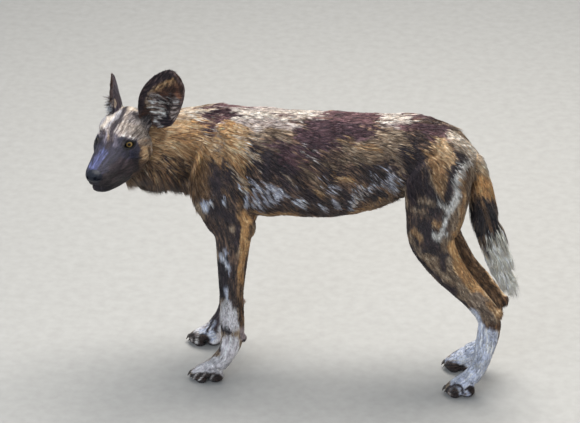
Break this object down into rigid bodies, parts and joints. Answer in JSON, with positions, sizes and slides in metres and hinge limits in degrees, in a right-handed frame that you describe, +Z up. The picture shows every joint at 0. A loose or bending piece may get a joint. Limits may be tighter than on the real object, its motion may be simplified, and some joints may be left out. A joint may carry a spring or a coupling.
{
  "type": "african wild dog",
  "caption": "Life-size standing african wild dog, still model, head turned to its left, rounded upright ears, tail hanging down; it rests on its paws.",
  "frame": {"origin": "on the floor under the centre of the whole animal's box", "axes": "the dog faces -X, its left side is -Y, +Z is up"},
  "size_m": [0.9266, 0.3452, 0.7413],
  "materials": {
    "coat": "short, rough, mottled fur in ochre, dark brown and white",
    "tail_coat": "bushy fur, tan at the root, black band, white brush",
    "paw_coat": "very short white and dark fur",
    "ear_skin": "thin, short dark fur outside, pale hair inside",
    "eye": "amber iris, dark pupil, glossy and wet",
    "claw": "horn, slightly glossy"
  },
  "bodies": {
    "root": {"head": "coat", "neck": "coat", "torso": "coat", "tail": "tail_coat", "ear_left": "ear_skin", "ear_right": "ear_skin", "eye_left": "eye", "eye_right": "eye", "upper_arm_left": "coat", "forearm_left": "coat", "fore_paw_left": "paw_coat", "thigh_left": "coat", "shank_left": "coat", "hind_cannon_left": "coat", "hind_paw_left": "paw_coat", "upper_arm_right": "coat", "forearm_right": "coat", "fore_paw_right": "paw_coat", "thigh_right": "coat", "shank_right": "coat", "hind_cannon_right": "coat", "hind_paw_right": "paw_coat", "fore_claw_left_1": "claw", "fore_claw_left_2": "claw", "fore_claw_left_3": "claw", "fore_claw_left_4": "claw", "fore_claw_right_1": "claw", "fore_claw_right_2": "claw", "fore_claw_right_3": "claw", "fore_claw_right_4": "claw", "hind_claw_left_1": "claw", "hind_claw_left_2": "claw", "hind_claw_left_3": "claw", "hind_claw_left_4": "claw", "hind_claw_right_1": "claw", "hind_claw_right_2": "claw", "hind_claw_right_3": "claw", "hind_claw_right_4": "claw"}
  },
  "joints": []
}
